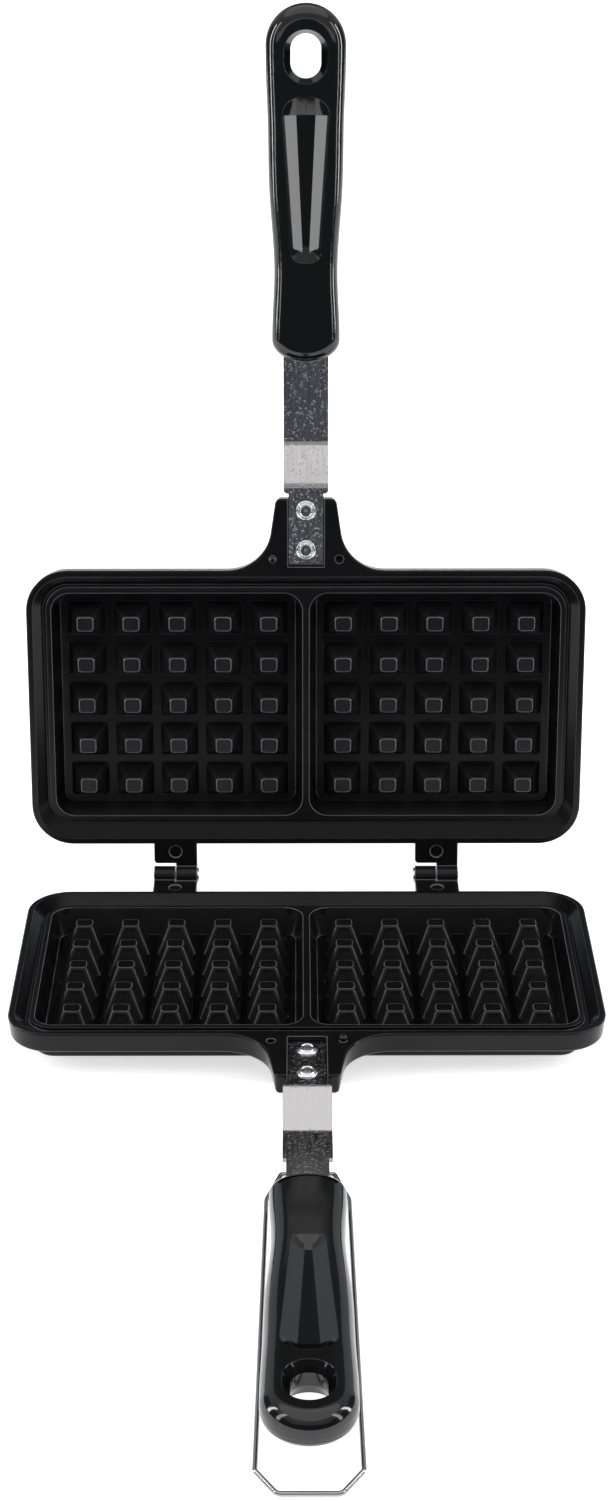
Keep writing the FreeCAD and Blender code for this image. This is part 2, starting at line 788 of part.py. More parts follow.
def strap_pocket(wide_until):
    """Make the space that the strap's end fills inside the grip."""
    half = neck_width / 2 + slip_play
    wide = strap_width / 2 + slip_play
    top = strap_depth - strap_thickness / 2 - slip_play
    height = strap_thickness + 2 * slip_play
    first = grip_base_reach - overrun
    last = strap_end_reach + slip_play
    pocket = Part.makeBox(2 * half, last - first, height, at(-half, last, top + height))
    mouth_end = wide_until + slip_play
    if mouth_end > grip_base_reach:
        corner = at(-wide, mouth_end, top + height)
        pocket = pocket.fuse(Part.makeBox(2 * wide, mouth_end - first, height, corner))
    for reach in strap_lock_reaches:
        pocket = pocket.cut(disc(0, reach, top - overrun, strap_lock_hole_radius - slip_play,
                                 height + 2 * overrun))
    return pocket


def grip(wide_until):
    """Make one moulded grip round the end of its strap."""
    return grip_body().cut([hang_slot(), thumb_recess(), strap_pocket(wide_until)])


def hinge_pin(side):
    """Make one hinge pin, with its head towards the middle of the iron."""
    middle = side * hinge_spacing / 2
    inner = middle - side * lug_width / 2
    outer = middle + side * lug_width / 2
    head_end = inner - side * hinge_head_height
    tail_end = outer + side * hinge_tail_height
    low = min(head_end, tail_end)
    high = max(head_end, tail_end)
    shank = bar_along_x(low, high, 0, 0, hinge_pin_radius)
    head = bar_along_x(min(inner, head_end), max(inner, head_end), 0, 0, hinge_head_radius)
    rim = []
    for edge in head.Edges:
        if abs(edge.BoundBox.Center.x - head_end) < pick_reach:
            rim.append(edge)
    head = head.makeFillet(hinge_head_height / 2, rim)
    return shank.fuse(head)


def bail_leg(along):
    """Give how far a leg stands out where it passes the grip, at a distance from the pivot."""
    gap = wire_radius + bail_play
    swell = grip_swell_reach - bail_pivot_reach
    tip = grip_tip_centre - bail_pivot_reach
    rise = (grip_tip_half_width - grip_base_half_width) / (tip - swell)
    return grip_base_half_width + gap + rise * (along - swell)


def bail():
    """Make the bail: two hooked legs that pass the grip's sides, and a loop past its tip."""
    corner = bail_reach - bail_nose_length
    hook_end = bail_hook_offset - bail_hook_length
    places = [(bail_nose_half_width, bail_reach), (bail_leg(corner), corner),
              (bail_leg(bail_flare_length), bail_flare_length), (bail_hook_offset, 0),
              (hook_end, 0)]
    spots = [at(-x, reach, 0) for x, reach in reversed(places)]
    spots += [at(x, reach, 0) for x, reach in places]
    bends = [bail_bend_radius] * 3
    radii = [bail_hook_bend_radius] + bends + bends + [bail_hook_bend_radius]
    path = Part.Wire(rounded_path(spots, radii))
    section = Part.Wire(Part.makeCircle(wire_radius, spots[0], X_AXIS))
    wire = path.makePipeShell([section], True, True)
    wire.rotate(ORIGIN, X_AXIS, bail_droop)
    wire.translate(at(0, bail_pivot_reach, bail_pivot_depth))
    return wire


def stance_angle():
    """Work out how far the iron leans back when it stands on its base's back edge and bail."""
    droop = math.radians(bail_droop)
    bail_end = bail_pivot_reach + bail_reach * math.cos(droop)
    bail_low = bail_pivot_depth + bail_reach * math.sin(droop)
    heel = grid_reach - base_half_length + base_foot_round
    heel_depth = base_depth - base_foot_round
    run = bail_end - heel
    fall = bail_low - heel_depth
    slack = (wire_radius - base_foot_round) / math.hypot(run, fall)
    return math.degrees(math.atan2(fall, run) + math.asin(slack))


def stand(shape):
    """Lean a piece of the lower half back, with the middle of the base at the origin."""
    placed = shape.copy()
    placed.translate(-at(0, grid_reach, base_depth))
    placed.rotate(ORIGIN, X_AXIS, -stance_angle())
    return placed


def raise_lid(shape):
    """Turn a piece over onto the upper half, open it and stand it with the rest."""
    placed = shape.copy()
    placed.rotate(ORIGIN, Y_AXIS, 180)
    placed.rotate(ORIGIN, X_AXIS, -lid_opening_angle)
    return stand(placed)


def build():
    """Make every piece at rest, by node name."""
    plain = casting()
    nodes = {
        "lower_plate": stand(plain),
        "upper_plate": raise_lid(lid_casting(plain)),
        "lower_strap": stand(lower_strap()),
        "upper_strap": raise_lid(upper_strap()),
        "lower_grip": stand(grip(neck_start_reach)),
        "upper_grip": raise_lid(grip(grip_swell_reach)),
        "left_hinge_pin": stand(hinge_pin(-1)),
        "right_hinge_pin": stand(hinge_pin(1)),
        "locking_bail": stand(bail()),
    }
    for place, reach in zip(("plate", "grip"), rivet_reaches):
        nodes["lower_" + place + "_side_rivet"] = stand(rivet(reach))
        nodes["upper_" + place + "_side_rivet"] = raise_lid(rivet(reach))
    return nodes


def report(nodes):
    """Print each piece's size and the places that the record needs."""
    for name, shape in nodes.items():
        box = shape.BoundBox
        print(name, len(shape.Solids), shape.isValid(), round(shape.Volume, 1),
              [round(value, 2) for value in (box.XMin, box.YMin, box.ZMin,
                                             box.XMax, box.YMax, box.ZMax)])
    print("stance angle", round(stance_angle(), 4))
    for name, spot in (("hinge axis", at(0, 0, 0)),
                       ("bail pivot", at(0, bail_pivot_reach, bail_pivot_depth))):
        marker = stand(Part.Vertex(spot)).Point
        print(name, [round(value, 3) for value in marker])


def main():
    """Build the iron and write one file per piece."""
    os.makedirs("parts", exist_ok=True)
    nodes = build()
    for name, shape in nodes.items():
        shape.exportStep("parts/" + name + ".step")
    report(nodes)


main()
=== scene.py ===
"""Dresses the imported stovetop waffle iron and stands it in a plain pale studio.

Blender's own lengths are metres; sizes of the iron's pieces and patterns are millimetres. Each
half is drawn shut, with the hinge axis through the origin: x runs along the hinge, -y is the
reach from the hinge and -z is the depth from the parting plane.
"""
import json
import logging
import math
from collections.abc import Sequence
from dataclasses import dataclass
from enum import Enum

import bpy
from mathutils import Matrix, Vector


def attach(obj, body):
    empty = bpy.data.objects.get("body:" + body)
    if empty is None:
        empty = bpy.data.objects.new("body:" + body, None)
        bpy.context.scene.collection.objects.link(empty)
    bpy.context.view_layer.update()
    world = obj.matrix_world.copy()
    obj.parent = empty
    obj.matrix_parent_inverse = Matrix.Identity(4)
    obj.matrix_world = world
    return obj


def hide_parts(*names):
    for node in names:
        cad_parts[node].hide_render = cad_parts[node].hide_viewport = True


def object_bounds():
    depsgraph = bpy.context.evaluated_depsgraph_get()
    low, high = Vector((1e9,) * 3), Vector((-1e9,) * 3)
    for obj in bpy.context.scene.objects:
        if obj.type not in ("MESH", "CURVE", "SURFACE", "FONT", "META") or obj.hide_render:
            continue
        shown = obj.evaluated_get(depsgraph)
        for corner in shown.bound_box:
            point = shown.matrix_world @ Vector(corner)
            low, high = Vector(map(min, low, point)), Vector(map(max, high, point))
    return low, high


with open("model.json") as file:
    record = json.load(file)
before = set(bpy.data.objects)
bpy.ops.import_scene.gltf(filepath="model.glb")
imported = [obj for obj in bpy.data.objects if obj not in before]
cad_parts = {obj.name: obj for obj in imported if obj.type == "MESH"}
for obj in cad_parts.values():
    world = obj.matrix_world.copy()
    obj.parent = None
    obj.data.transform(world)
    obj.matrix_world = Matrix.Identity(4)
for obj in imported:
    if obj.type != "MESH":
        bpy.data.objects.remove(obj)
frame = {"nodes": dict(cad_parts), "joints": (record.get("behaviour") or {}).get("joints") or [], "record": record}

LOG = logging.getLogger("waffle_iron")
MM = 0.001
PHOTO_HEIGHT = 1500
INNERMOST = 0.1          # radius in mm where a turned outline stops; close_ends fills the rest
SMOOTH_DEG = 40.0        # faces that meet at less than this are shaded as one
UPRIGHT = math.pi / 2
CAD_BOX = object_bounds()
GROUND = CAD_BOX[0][2]

Point = tuple[float, float]
Triple = tuple[float, float, float]
Sockets = dict[str | int, object]


class Body(Enum):
    """The moving bodies that new pieces ride on."""

    LOWER_HALF = "lower_half"
    LID = "lid"


class Grade(Enum):
    """The parts of a plate whose coat is given painted light or shade, by material slot."""

    TOOTH_TOP = 1
    CHANNEL = 2
    TOOTH_SIDE = 3


def linear(hex_colour: str) -> tuple[float, float, float, float]:
    """Turn an sRGB hex colour into linear red, green, blue and alpha.

    Args:
        hex_colour: a colour such as "#1c1c1d".

    Returns:
        The four linear values that a shader socket takes.
    """
    values = []
    for start in (1, 3, 5):
        channel = int(hex_colour[start:start + 2], 16) / 255
        low = channel / 12.92
        high = ((channel + 0.055) / 1.055) ** 2.4
        values.append(low if channel <= 0.04045 else high)
    return (values[0], values[1], values[2], 1.0)


def wire(tree: bpy.types.NodeTree, node: bpy.types.Node, sockets: Sockets) -> None:
    """Set a node's inputs.

    Args:
        tree: the node tree.
        node: the node.
        sockets: values for its inputs by name or number; an output socket is linked.
    """
    for name, value in sockets.items():
        if isinstance(value, bpy.types.NodeSocket):
            tree.links.new(value, node.inputs[name])
        else:
            node.inputs[name].default_value = value


def add_node(tree: bpy.types.NodeTree, kind: str, sockets: Sockets | None = None,
             **settings: object) -> bpy.types.Node:
    """Add a shader node, set it up and link it.

    Args:
        tree: the node tree.
        kind: the node's type name.
        sockets: values for its inputs by name or number; an output socket is linked.
        **settings: the node's own properties.

    Returns:
        The new node.
    """
    node = tree.nodes.new(kind)
    for name, value in settings.items():
        setattr(node, name, value)
    wire(tree, node, sockets or {})
    return node


@dataclass(frozen=True)
class Stance:
    """Where both halves stand: each matrix takes a half drawn shut, in metres, to its place."""

    lower: Matrix
    lid: Matrix

    @classmethod
    def read(cls) -> "Stance":
        """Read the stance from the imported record.

        Returns:
            The stance, from the lid's joint and the axis of the base.
        """
        joint = next(entry for entry in frame["joints"] if entry["name"] == "lid_hinge")
        axis = frame["record"]["mounts"][0]["axis"]
        lean = Matrix.Rotation(math.atan2(axis[1], -axis[2]), 4, "X")
        opening = Matrix.Rotation(-math.radians(joint["range_deg"][1]), 4, "X")
        turned_over = Matrix.Rotation(math.pi, 4, "Y")
        lower = Matrix.Translation(Vector(joint["pos_m"])) @ lean
        return cls(lower, lower @ opening @ turned_over)


@dataclass(frozen=True)
class Finish:
    """What every finish has: a name and the way to start its material."""

    name: str

    def start(self) -> tuple[bpy.types.Material, bpy.types.NodeTree, bpy.types.NodeSocket]:
        """Make a material with a plain shader.

        Returns:
            The material, its node tree and the object's own coordinates.
        """
        material = bpy.data.materials.new(self.name)
        material.use_nodes = True
        place = add_node(material.node_tree, "ShaderNodeTexCoord")
        return material, material.node_tree, place.outputs["Object"]


@dataclass(frozen=True)
class NonStickCasting(Finish):
    """Die-cast aluminium, grit-blasted, then sprayed and baked with a black non-stick coat.

    The eye gets a soft, slightly pebbled black that is shinier on every edge, where a lighter
    colour is a painted highlight. The grit is 0.2 to 0.4 mm, too fine to show here, so its
    pebbles are drawn 1.1 mm wide.
    """

    name: str = "sprayed_nonstick_on_cast_aluminium"
    coat: str = "#090909"
    dusty: str = "#111112"
    # painted highlight: the lighter colour that the coat turns to on every edge
    edge: str = "#66666a"
    ior: float = 1.28
    roughness: Point = (0.15, 0.27)
    edge_roughness: float = 0.12
    edge_mm: float = 0.4
    edge_gloss_and_highlight_mm: float = 0.65
    edge_gloss_and_highlight_span: Point = (0.985, 0.9)
    pebble_mm: float = 1.1
    pebble_height_mm: float = 0.05
    cloud_mm: float = 16.0

    def material(self) -> bpy.types.Material:
        """Make the coat. Its edges, where a normal rounded over the wider bevel turns away, get a painted
        highlight colour and a lower roughness.

        Returns:
            The material.
        """
        material, tree, place = self.start()
        pebbles = add_node(tree, "ShaderNodeTexNoise",
                           {"Vector": place, "Scale": 1 / (self.pebble_mm * MM), "Detail": 3.0})
        clouds = add_node(tree, "ShaderNodeTexNoise",
                          {"Vector": place, "Scale": 1 / (self.cloud_mm * MM), "Detail": 2.0})
        rounded = add_node(tree, "ShaderNodeBevel", {"Radius": self.edge_mm * MM}, samples=6)
        wide = add_node(tree, "ShaderNodeBevel", {"Radius": self.edge_gloss_and_highlight_mm * MM}, samples=8)
        plain = add_node(tree, "ShaderNodeNewGeometry")
        turned = add_node(tree, "ShaderNodeVectorMath",
                          {0: wide.outputs["Normal"], 1: plain.outputs["Normal"]},
                          operation="DOT_PRODUCT")
        edges = add_node(tree, "ShaderNodeMapRange",
                         {"Value": turned.outputs["Value"], "From Min": self.edge_gloss_and_highlight_span[0],
                          "From Max": self.edge_gloss_and_highlight_span[1]})
        tint = add_node(tree, "ShaderNodeMix",
                        {"Factor": clouds.outputs["Fac"], 6: linear(self.coat),
                         7: linear(self.dusty)}, data_type="RGBA")
        # painted highlight: the coat is mixed towards the edge colour along every edge
        painted_edge_highlight = add_node(tree, "ShaderNodeMix",
                        {"Factor": edges.outputs["Result"], 6: tint.outputs[2],
                         7: linear(self.edge)}, data_type="RGBA")
        gloss = add_node(tree, "ShaderNodeMapRange",
                         {"Value": pebbles.outputs["Fac"], "To Min": self.roughness[0],
                          "To Max": self.roughness[1]})
        polish = add_node(tree, "ShaderNodeMix",
                          {0: edges.outputs["Result"], 2: gloss.outputs["Result"],
                           3: self.edge_roughness})
        bump = add_node(tree, "ShaderNodeBump",
                        {"Height": pebbles.outputs["Fac"], "Strength": 1.0,
                         "Distance": self.pebble_height_mm * MM,
                         "Normal": rounded.outputs["Normal"]})
        wire(tree, tree.nodes["Principled BSDF"],
             {"Base Color": painted_edge_highlight.outputs[2], "Roughness": polish.outputs[0], "IOR": self.ior,
              "Normal": bump.outputs["Normal"]})
        return material


@dataclass(frozen=True)
class Phenolic(Finish):
    """Compression-moulded black phenolic resin, buffed.

    The eye gets a deep gloss that shows the lamps as long sharp bands, a little wavy.
    """

    name: str = "buffed_black_phenolic"
    resin: str = "#0a0a0b"
    ior: float = 1.52
    roughness: Point = (0.05, 0.12)
    edge_mm: float = 0.35
    haze_mm: float = 3.0
    ripple_mm: float = 11.0
    ripple_height_mm: float = 0.03

    def material(self) -> bpy.types.Material:
        """Make the resin, with its moulded edges eased and its face barely rippled.

        Returns:
            The material.
        """
        material, tree, place = self.start()
        haze = add_node(tree, "ShaderNodeTexNoise",
                        {"Vector": place, "Scale": 1 / (self.haze_mm * MM), "Detail": 4.0})
        ripple = add_node(tree, "ShaderNodeTexNoise",
                          {"Vector": place, "Scale": 1 / (self.ripple_mm * MM), "Detail": 1.0})
        rounded = add_node(tree, "ShaderNodeBevel", {"Radius": self.edge_mm * MM}, samples=6)
        gloss = add_node(tree, "ShaderNodeMapRange",
                         {"Value": haze.outputs["Fac"], "To Min": self.roughness[0],
                          "To Max": self.roughness[1]})
        bump = add_node(tree, "ShaderNodeBump",
                        {"Height": ripple.outputs["Fac"], "Strength": 1.0,
                         "Distance": self.ripple_height_mm * MM,
                         "Normal": rounded.outputs["Normal"]})
        wire(tree, tree.nodes["Principled BSDF"],
             {"Base Color": linear(self.resin), "Roughness": gloss.outputs["Result"],
              "IOR": self.ior, "Normal": bump.outputs["Normal"]})
        return material


@dataclass(frozen=True)
class Steel(Finish):
    """Bright steel: rolled strip, headed rivets or drawn wire, as its sizes say.

    The eye gets a mirror dulled by lines along the way it was worked, with a few pits. Real
    rolling lines are under 0.1 mm, too fine to show here, so they are drawn 0.5 mm wide.
    """

    colour: str = "#b2b0b0"
    roughness: Point = (0.10, 0.26)
    line_mm: float = 0.5
    line_stretch: Triple = (1.0, 0.05, 0.05)
    line_span: Point = (0.3, 0.7)
    line_height_mm: float = 0.006
    pit_mm: float = 1.3
    pit_span: Point = (0.33, 0.42)
    pit_height_mm: float = 0.045
    edge_mm: float = 0.35

    def material(self) -> bpy.types.Material:
        """Make the metal: its lines in the gloss and the relief, and its pits under them.

        Returns:
            The material.
        """
        material, tree, place = self.start()
        along = add_node(tree, "ShaderNodeMapping", {"Vector": place, "Scale": self.line_stretch})
        lines = add_node(tree, "ShaderNodeTexNoise",
                         {"Vector": along.outputs["Vector"], "Scale": 1 / (self.line_mm * MM),
                          "Detail": 3.0})
        pits = add_node(tree, "ShaderNodeTexNoise",
                        {"Vector": place, "Scale": 1 / (self.pit_mm * MM), "Detail": 4.0})
        rounded = add_node(tree, "ShaderNodeBevel", {"Radius": self.edge_mm * MM}, samples=6)
        gloss = add_node(tree, "ShaderNodeMapRange",
                         {"Value": lines.outputs["Fac"], "From Min": self.line_span[0],
                          "From Max": self.line_span[1], "To Min": self.roughness[0],
                          "To Max": self.roughness[1]})
        ridged = add_node(tree, "ShaderNodeBump",
                          {"Height": lines.outputs["Fac"], "Strength": 1.0,
                           "Distance": self.line_height_mm * MM,
                           "Normal": rounded.outputs["Normal"]})
        deep = add_node(tree, "ShaderNodeMapRange",
                        {"Value": pits.outputs["Fac"], "From Min": self.pit_span[0],
                         "From Max": self.pit_span[1]})
        pitted = add_node(tree, "ShaderNodeBump",
                          {"Height": deep.outputs["Result"], "Strength": 1.0,
                           "Distance": self.pit_height_mm * MM,
                           "Normal": ridged.outputs["Normal"]})
        wire(tree, tree.nodes["Principled BSDF"],
             {"Base Color": linear(self.colour), "Metallic": 1.0,
              "Roughness": gloss.outputs["Result"], "Normal": pitted.outputs["Normal"]})
        return material


def deselect() -> None:
    """Leave no object selected."""
    bpy.ops.object.select_all(action="DESELECT")


def start_ring(name: str, sides: int, radius: float, height: float) -> bpy.types.Object:
    """Add an open ring round the Z axis and go into edit mode with all of it selected.

    Args:
        name: the piece's name.
        sides: how many points the ring has.
        radius: its radius, in metres.
        height: its height, in metres.

    Returns:
        The new piece, at the origin and unturned, with its place in its mesh.
    """
    deselect()
    bpy.ops.mesh.primitive_circle_add(vertices=sides, radius=radius, location=(0, 0, height))
    piece = bpy.context.object
    piece.name = name
    piece.data.name = name
    bpy.ops.object.transform_apply(location=True, rotation=True, scale=True)
    bpy.ops.object.mode_set(mode="EDIT")
    bpy.ops.mesh.select_all(action="SELECT")
    return piece


def close_ends(piece: bpy.types.Object) -> None:
    """Close a piece's open ends, turn its faces outwards, leave edit mode and shade it.

    Args:
        piece: the piece, in edit mode.
    """
    bpy.ops.mesh.select_all(action="SELECT")
    bpy.ops.mesh.fill_holes(sides=0)
    bpy.ops.mesh.remove_doubles(threshold=1e-7)
    bpy.ops.mesh.normals_make_consistent(inside=False)
    bpy.ops.object.mode_set(mode="OBJECT")
    deselect()
    piece.select_set(True)
    bpy.context.view_layer.objects.active = piece
    bpy.ops.object.shade_smooth_by_angle(angle=math.radians(SMOOTH_DEG))


def turn(name: str, rings: Sequence[Point], sides: int) -> bpy.types.Object:
    """Turn a piece round +Z by extruding and scaling a ring from one radius to the next.

    Args:
        name: the piece's name.
        rings: its outline as (radius, height) pairs in millimetres, none of radius zero.
        sides: how many points go round it.

    Returns:
        The closed piece.
    """
    radius, height = rings[0]
    piece = start_ring(name, sides, radius * MM, height * MM)
    for (before, low), (after, high) in zip(rings, rings[1:]):
        bpy.ops.mesh.extrude_region_move(
            TRANSFORM_OT_translate={"value": (0, 0, (high - low) * MM)})
        share = after / before
        bpy.ops.transform.resize(value=(share, share, 1), center_override=(0, 0, high * MM))
    close_ends(piece)
    return piece


def arc(middle: Point, reach: Point, from_deg: float, to_deg: float, points: int) -> list[Point]:
    """Draw part of an ellipse.

    Args:
        middle: its middle, as (radius, height).
        reach: its half width and half height.
        from_deg: where it starts, counted from the outward side.
        to_deg: where it ends.
        points: how many points it gets.

    Returns:
        (radius, height) pairs.
    """
    pairs = []
    for step in range(points):
        angle = math.radians(from_deg + (to_deg - from_deg) * step / (points - 1))
        pairs.append((middle[0] + reach[0] * math.cos(angle),
                      middle[1] + reach[1] * math.sin(angle)))
    return pairs


def copy_to(piece: bpy.types.Object, name: str, matrix: Matrix) -> bpy.types.Object:
    """Copy a piece with a mesh of its own and put the copy's mesh in place.

    Args:
        piece: the piece to copy.
        name: the copy's name.
        matrix: where the copy goes.

    Returns:
        The copy, its object at the origin.
    """
    copy = bpy.data.objects.new(name, piece.data.copy())
    copy.data.name = name
    bpy.context.scene.collection.objects.link(copy)
    copy.data.transform(matrix)
    return copy


def hand_over(piece: bpy.types.Object, body: Body, node: str) -> None:
    """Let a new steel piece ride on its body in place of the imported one.

    Args:
        piece: the new piece.
        body: the body that it rides on.
        node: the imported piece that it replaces.
    """
    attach(piece, body.value)
    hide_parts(node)
    LOG.info("set %s", piece.name)


@dataclass(frozen=True)
class Rivets:
    """The four tubular rivets: a domed head with a rolled lip round its hollow, and a tail.

    reaches holds each rivet's word in its node's name and its distance from the hinge. Heights
    are counted from the parting plane, and the hollow's floor and the tail's dimple are (radius,
    height) pairs from their own level.
    """

    reaches: tuple[tuple[str, float], ...] = (("plate", 146.7), ("grip", 163.8))
    sides: int = 56
    head_seat: float = 2.2
    head_height: float = 1.25
    head_radius: float = 4.45
    shoulder_round: float = 1.3
    shoulder_rise: float = 0.8
    lip_middle: float = 2.75
    lip_radius: float = 0.6
    lip_span_deg: Point = (175.0, -17.0)
    hollow_depth: float = 1.7
    hollow_radius: float = 2.1
    hollow_wall_top: float = 1.1
    hollow_floor: tuple[Point, ...] = ((INNERMOST, 0.9), (0.665, 0.75), (0.95, 0.35),
                                       (1.15, 0.05), (1.9, 0.0), (2.1, 0.25))
    shank_radius: float = 2.5
    tail_seat: float = 9.3
    tail_round: float = 0.6
    tail_dimple: tuple[Point, ...] = ((1.4, 0.0), (1.1, 0.25), (INNERMOST, 0.35))

    def outline(self) -> list[Point]:
        """Draw half the rivet, from the middle of its hollow round to the middle of its tail.

        Returns:
            (radius, height) pairs.
        """
        crown = self.head_height - self.head_seat
        floor = crown - self.hollow_depth
        tail = -self.tail_seat - self.head_height
        rings = [(radius, floor + rise) for radius, rise in self.hollow_floor]
        rings.append((self.hollow_radius, crown - self.hollow_wall_top))
        rings += arc((self.lip_middle, crown - self.lip_radius),
                     (self.lip_radius, self.lip_radius), *self.lip_span_deg, 9)
        rings += arc((self.head_radius - self.shoulder_round, -self.head_seat),
                     (self.shoulder_round, self.shoulder_rise), 90, 0, 7)
        rings += [(self.shank_radius, -self.head_seat), (self.shank_radius, -self.tail_seat),
                  (self.head_radius, -self.tail_seat)]
        rings += arc((self.head_radius - self.tail_round, tail + self.tail_round),
                     (self.tail_round, self.tail_round), 0, -90, 7)
        rings += [(radius, tail + rise) for radius, rise in self.tail_dimple]
        return rings

    def build(self, stance: Stance, steel: bpy.types.Material,
              oxide: bpy.types.Material) -> None:
        """Model one rivet, then set a copy in each of the four holes.

        Args:
            stance: where the halves stand.
            steel: the rivets' finish.
            oxide: the finish inside their hollows.
        """
        model = turn("rivet", self.outline(), self.sides)
        model.data.materials.append(steel)
        model.data.materials.append(oxide)
        hollow = (self.hollow_radius + 0.02) * MM
        halfway = -self.tail_seat / 2 * MM
        for face in model.data.polygons:
            inside = face.center.xy.length < hollow and face.center.z > halfway
            face.material_index = int(inside)
        halves = (("lower", stance.lower, Body.LOWER_HALF), ("upper", stance.lid, Body.LID))
        for half, matrix, body in halves:
            for place, reach in self.reaches:
                node = f"{half}_{place}_side_rivet"
                hole = Matrix.Translation(Vector((0, -reach * MM, 0)))
                hand_over(copy_to(model, f"{node}_turned", matrix @ hole), body, node)
        bpy.data.objects.remove(model)


@dataclass(frozen=True)
class HingePins:
    """The two hinge pins: a low round head on the inside and a peened tail outside.

    head_face and tail_end are counted along the hinge from the iron's middle. The tail is
    (radius, height) pairs from its own end.
    """

    sides: int = 40
    head_face: float = 47.0
    head_radius: float = 3.4
    head_height: float = 1.0
    head_round: float = 0.6
    head_flat: float = 1.2
    shank_radius: float = 1.6
    tail_end: float = 67.3
    tail: tuple[Point, ...] = ((1.6, 0.3), (1.5, 0.1), (1.25, 0.0), (0.7, 0.0), (0.5, 0.25),
                               (INNERMOST, 0.3))

    def outline(self) -> list[Point]:
        """Draw half a pin, from its head's middle to its tail's, along the hinge axis.

        Returns:
            (radius, height) pairs, with the underside of the head at height zero.
        """
        end = self.head_face + self.head_height - self.tail_end
        rings = [(INNERMOST, self.head_height), (self.head_flat, self.head_height)]
        rings += arc((self.head_radius - self.head_round, self.head_height - self.head_round),
                     (self.head_round, self.head_round), 90, 0, 7)
        rings += [(self.head_radius, 0), (self.shank_radius, 0)]
        rings += [(radius, end + rise) for radius, rise in self.tail]
        return rings

    def build(self, stance: Stance, steel: bpy.types.Material) -> None:
        """Model one pin, then set one in each hinge with its head towards the middle.

        Args:
            stance: where the halves stand.
            steel: the pins' finish.
        """
        model = turn("hinge_pin", self.outline(), self.sides)
        model.data.materials.append(steel)
        seat = (self.head_face + self.head_height) * MM
        for name, side in (("left", -1), ("right", 1)):
            hole = Matrix.Translation(Vector((side * seat, 0, 0)))
            lay = Matrix.Rotation(-side * math.pi / 2, 4, "Y")
            pin = copy_to(model, f"{name}_hinge_pin_turned", stance.lower @ hole @ lay)
            hand_over(pin, Body.LOWER_HALF, f"{name}_hinge_pin")
        bpy.data.objects.remove(model)


@dataclass(frozen=True)
class Strip:
    """A tall softbox that faces the iron; its sizes are metres, and a radiance of 1 is white."""

    name: str
    azimuth_deg: float
    distance: float
    size: Point
    middle: float
    radiance: float
    aim_height: float = 0.1

    def hang(self) -> None:
        """Hang the softbox round from the camera by its azimuth."""
        angle = math.radians(self.azimuth_deg)
        place = Vector((self.distance * math.sin(angle), -self.distance * math.cos(angle),
                        self.middle))
        bpy.ops.object.light_add(type="AREA", location=place)
        lamp = bpy.context.object
        lamp.name = self.name
        lamp.data.shape = "RECTANGLE"
        lamp.data.size = self.size[0]
        lamp.data.size_y = self.size[1]
        lamp.data.energy = self.radiance * math.pi * self.size[0] * self.size[1]
        towards = Vector((0, 0, self.aim_height)) - place
        lamp.rotation_euler = towards.to_track_quat("-Z", "Y").to_euler()
        lamp.visible_camera = False


@dataclass(frozen=True)
class Card:
    """A plain card near the iron that only its reflections show; its sizes are metres."""

    name: str
    colour: str
    size: Point
    place: Triple
    turned: Triple = (UPRIGHT, 0.0, 0.0)

    def stand(self) -> None:
        """Stand the card in its place and hide it from all but reflections."""
        bpy.ops.mesh.primitive_plane_add(size=1, location=self.place, rotation=self.turned)
        card = bpy.context.object
        card.name = self.name
        card.scale = (self.size[0], self.size[1], 1)
        bpy.ops.object.transform_apply(location=True, rotation=True, scale=True)
        material = bpy.data.materials.new(self.name)
        material.use_nodes = True
        wire(material.node_tree, material.node_tree.nodes["Principled BSDF"],
             {"Base Color": linear("#000000"), "Specular IOR Level": 0.0,
              "Emission Color": linear(self.colour), "Emission Strength": 1.0})
        card.data.materials.append(material)
        card.visible_camera = False
        card.visible_diffuse = False
        card.visible_shadow = False
        card.visible_transmission = False


